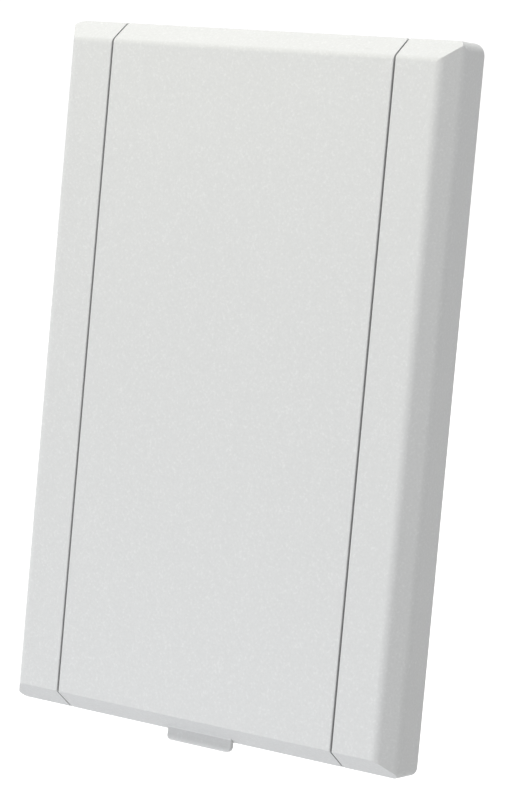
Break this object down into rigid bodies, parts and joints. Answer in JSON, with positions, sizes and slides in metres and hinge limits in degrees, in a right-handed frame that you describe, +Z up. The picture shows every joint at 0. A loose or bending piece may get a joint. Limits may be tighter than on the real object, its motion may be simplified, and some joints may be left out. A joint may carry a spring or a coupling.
{
  "type": "central vacuum wall inlet valve",
  "caption": "Wall plate with a full-height door hinged at its top edge, sprung shut over a hose port with a spigot into the wall.",
  "frame": {"origin": "middle of the two mounting screws, on the hose port's axis, in the plane of the wall's surface", "axes": "+X to the right seen from the room, +Y into the wall along the hose port, +Z up"},
  "size_m": [0.0826, 0.0394, 0.1255],
  "materials": {
    "shell": "satin off-white moulding with a fine spark-eroded texture",
    "body": "smooth satin light grey moulding",
    "seal": "matt black rubber",
    "contact": "plain brass strip",
    "hardware": "bright zinc-plated steel",
    "pin": "ground steel pin",
    "spring": "drawn spring wire"
  },
  "bodies": {
    "base": {"trim_frame": "shell", "valve_flange": "body", "port_tube": "body", "spigot_seal": "seal", "contact_left": "contact", "contact_right": "contact", "terminal_clamp_left": "hardware", "terminal_clamp_right": "hardware", "terminal_screw_left": "hardware", "terminal_screw_right": "hardware", "mounting_screw_top": "hardware", "mounting_screw_bottom": "hardware", "trim_screws": "hardware", "hinge_pin_left": "pin", "hinge_pin_right": "pin", "spring_left": "spring", "spring_right": "spring"},
    "flap": {"door": "shell", "door_gasket": "seal", "gasket_retainer": "body", "retainer_screws": "hardware"}
  },
  "joints": [
    {"name": "door_hinge", "type": "hinge", "parent": "base", "child": "flap", "pos_m": [0, -0.005, 0.0583], "axis": [-1, 0, 0], "range_deg": [0, 95], "stiffness_Nm_per_rad": 0.012, "springref_deg": -60.16, "deforming": ["spring_left", "spring_right"]}
  ]
}
